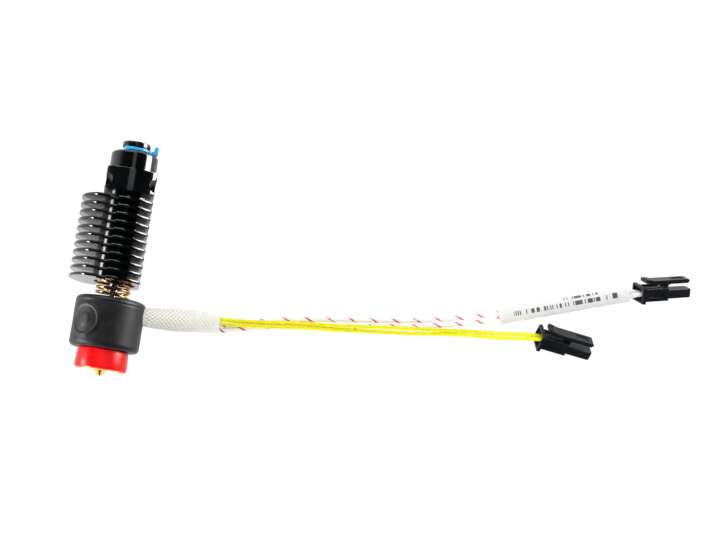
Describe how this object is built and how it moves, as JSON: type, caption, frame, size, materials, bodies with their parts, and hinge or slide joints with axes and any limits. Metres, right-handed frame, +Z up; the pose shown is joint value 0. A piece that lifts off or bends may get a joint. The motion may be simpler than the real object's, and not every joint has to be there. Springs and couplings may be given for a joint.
{
  "type": "hotend assembly",
  "caption": "Finned hotend lying on its back: sprung round heater core, screw-in nozzle in a silicone sock, top tube coupling with clip, and two leads with latched connectors.",
  "frame": {"origin": "on the bench face, under the middle of the hotend without its leads", "axes": "+Y along the hotend from the nozzle's tip to the collet, +X towards the leads, +Z up from the bench"},
  "size_m": [0.2089, 0.075, 0.0227],
  "materials": {
    "brass": "turned brass",
    "steel": "bright drawn steel",
    "copper": "copper-coloured spring wire",
    "ceramic": "pressed mineral insulation",
    "red_silicone": "moulded silicone, satin",
    "black_silicone": "moulded silicone, satin",
    "black_anodised": "black anodised, glossy",
    "black_plastic": "moulded plastic, glossy",
    "black_nylon": "moulded nylon, satin",
    "blue_plastic": "moulded plastic, satin",
    "white_braid": "woven glass fibre",
    "white_wire": "extruded insulation with red tracer",
    "yellow_wire": "extruded insulation, glossy",
    "clear_sleeve": "translucent heat-shrink"
  },
  "bodies": {
    "heatsink": {"heatsink": "black_anodised", "coupling_collar": "black_anodised", "collet_teeth": "steel", "core_spring": "copper"},
    "heater_core": {"core_shell": "black_silicone", "core_tube": "brass", "heater_element": "ceramic", "core_insulator": "ceramic", "temperature_sensor": "steel", "spring_seat": "steel", "cable_ferrule": "steel", "braided_sleeve": "white_braid", "heater_wire_a": "white_wire", "heater_wire_b": "white_wire", "sensor_wire_a": "yellow_wire", "sensor_wire_b": "yellow_wire", "label_sleeve": "clear_sleeve", "heater_connector_housing": "black_nylon", "heater_terminal_a": "brass", "heater_terminal_b": "brass", "sensor_connector_housing": "black_nylon", "sensor_terminal_a": "brass", "sensor_terminal_b": "brass"},
    "nozzle": {"nozzle": "brass", "heatbreak": "steel", "nozzle_sock": "red_silicone"},
    "collet": {"collet": "black_plastic"},
    "collet_clip": {"collet_clip": "blue_plastic"},
    "heater_latch": {"heater_connector_latch": "black_nylon"},
    "sensor_latch": {"sensor_connector_latch": "black_nylon"}
  },
  "joints": [
    {"name": "core_slide", "type": "slide", "parent": "heatsink", "child": "heater_core", "axis": [0, -1, 0], "range_m": [0, 0.004], "deforming": ["core_spring"]},
    {"name": "nozzle_turn", "type": "hinge", "parent": "heater_core", "child": "nozzle", "pos_m": [0.00175, -0.03755, 0.011], "axis": [0, -1, 0], "range_deg": [0, 1440]},
    {"name": "collet_press", "type": "slide", "parent": "heatsink", "child": "collet", "axis": [0, -1, 0], "range_m": [0, 0.0004]},
    {"name": "clip_pull", "type": "slide", "parent": "collet", "child": "collet_clip", "axis": [1, 0, 0], "range_m": [0, 0.011]},
    {"name": "heater_latch_press", "type": "hinge", "parent": "heater_core", "child": "heater_latch", "pos_m": [0.18609, 0.02247, 0.00503], "axis": [0.1795, -0.3528, 0.9183], "range_deg": [0, 7], "stiffness_Nm_per_rad": 0.02},
    {"name": "sensor_latch_press", "type": "hinge", "parent": "heater_core", "child": "sensor_latch", "pos_m": [0.15376, -0.00179, 0.00609], "axis": [-0.0074, -0.65, 0.7599], "range_deg": [0, 7], "stiffness_Nm_per_rad": 0.02}
  ],
  "couplings": [
    {"joint": "nozzle_turn", "follows": "core_slide", "rad_per_m": 6283.2}
  ]
}
